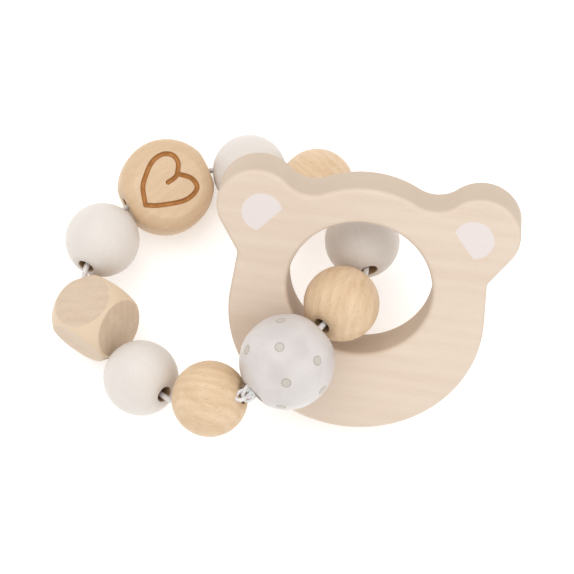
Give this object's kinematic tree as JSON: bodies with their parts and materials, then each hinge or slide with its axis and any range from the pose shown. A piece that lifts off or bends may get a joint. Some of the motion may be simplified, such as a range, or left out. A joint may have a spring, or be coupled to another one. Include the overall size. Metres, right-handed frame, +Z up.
{
  "type": "baby rattle",
  "caption": "Wooden baby rattle: round, disc and cube beads on a knotted elastic loop that carries a thick bear-head ring to grasp and shake.",
  "frame": {"origin": "bottom centre of the bounding box of the rattle at rest, on the table", "axes": "+Z up from the table, +X the longest way across the loop, from the cube bead to the bear ring, +Y away from the ring's chin"},
  "size_m": [0.0988, 0.069, 0.044],
  "materials": {
    "natural_wood": "satin",
    "white_washed_wood": "satin",
    "painted_bead": "satin paint with beige dots",
    "disc_wood": "satin, burnt heart line",
    "cube_wood": "satin",
    "ring_wood": "smooth unvarnished",
    "elastic": "glossy translucent"
  },
  "bodies": {
    "cord_loop": {"elastic_cord": "elastic", "cord_knot": "elastic"},
    "dotted_bead": {"dotted_bead": "painted_bead"},
    "natural_bead_a": {"natural_bead_a": "natural_wood"},
    "white_bead_a": {"white_bead_a": "white_washed_wood"},
    "natural_bead_b": {"natural_bead_b": "natural_wood"},
    "white_bead_b": {"white_bead_b": "white_washed_wood"},
    "heart_disc": {"heart_disc": "disc_wood"},
    "white_bead_c": {"white_bead_c": "white_washed_wood"},
    "cube_bead": {"cube_bead": "cube_wood"},
    "white_bead_d": {"white_bead_d": "white_washed_wood"},
    "natural_bead_c": {"natural_bead_c": "natural_wood"},
    "bear_ring": {"bear_ring": "ring_wood"}
  },
  "joints": [
    {"name": "dotted_bead_spin", "type": "hinge", "parent": "cord_loop", "child": "dotted_bead", "pos_m": [0.00046, -0.0196, 0.0276], "axis": [0.7067, 0.7057, 0.0518], "continuous": true},
    {"name": "natural_bead_a_spin", "type": "hinge", "parent": "cord_loop", "child": "natural_bead_a", "pos_m": [0.01202, -0.00627, 0.0236], "axis": [0.5756, 0.7261, -0.3761], "continuous": true},
    {"name": "white_bead_a_spin", "type": "hinge", "parent": "cord_loop", "child": "white_bead_a", "pos_m": [0.01677, 0.00876, 0.0177], "axis": [-0.1802, 0.9416, -0.2843], "continuous": true},
    {"name": "natural_bead_b_spin", "type": "hinge", "parent": "cord_loop", "child": "natural_bead_b", "pos_m": [0.00733, 0.02201, 0.0132], "axis": [-0.7923, 0.538, -0.2878], "continuous": true},
    {"name": "white_bead_b_spin", "type": "hinge", "parent": "cord_loop", "child": "white_bead_b", "pos_m": [-0.00724, 0.02648, 0.008], "axis": [-0.9588, 0.0673, -0.276], "continuous": true},
    {"name": "heart_disc_spin", "type": "hinge", "parent": "cord_loop", "child": "heart_disc", "pos_m": [-0.02546, 0.02303, 0.00698], "axis": [-0.8923, -0.4479, 0.0562], "continuous": true},
    {"name": "white_bead_c_spin", "type": "hinge", "parent": "cord_loop", "child": "white_bead_c", "pos_m": [-0.03891, 0.01038, 0.0103], "axis": [-0.4515, -0.8529, 0.262], "continuous": true},
    {"name": "cube_bead_spin", "type": "hinge", "parent": "cord_loop", "child": "cube_bead", "pos_m": [-0.0401, -0.00704, 0.0113], "axis": [0.3378, -0.9291, -0.1508], "continuous": true},
    {"name": "white_bead_d_spin", "type": "hinge", "parent": "cord_loop", "child": "white_bead_d", "pos_m": [-0.03013, -0.02079, 0.01525], "axis": [0.6793, -0.5589, 0.4755], "continuous": true},
    {"name": "natural_bead_c_spin", "type": "hinge", "parent": "cord_loop", "child": "natural_bead_c", "pos_m": [-0.01558, -0.02648, 0.02228], "axis": [0.9291, 0.0358, 0.3681], "continuous": true},
    {"name": "ring_swing", "type": "hinge", "parent": "cord_loop", "child": "bear_ring", "pos_m": [0.016, -0.00127, 0.02479], "axis": [-0.103, -0.6282, 0.7712], "range_deg": [-90, 90]}
  ]
}
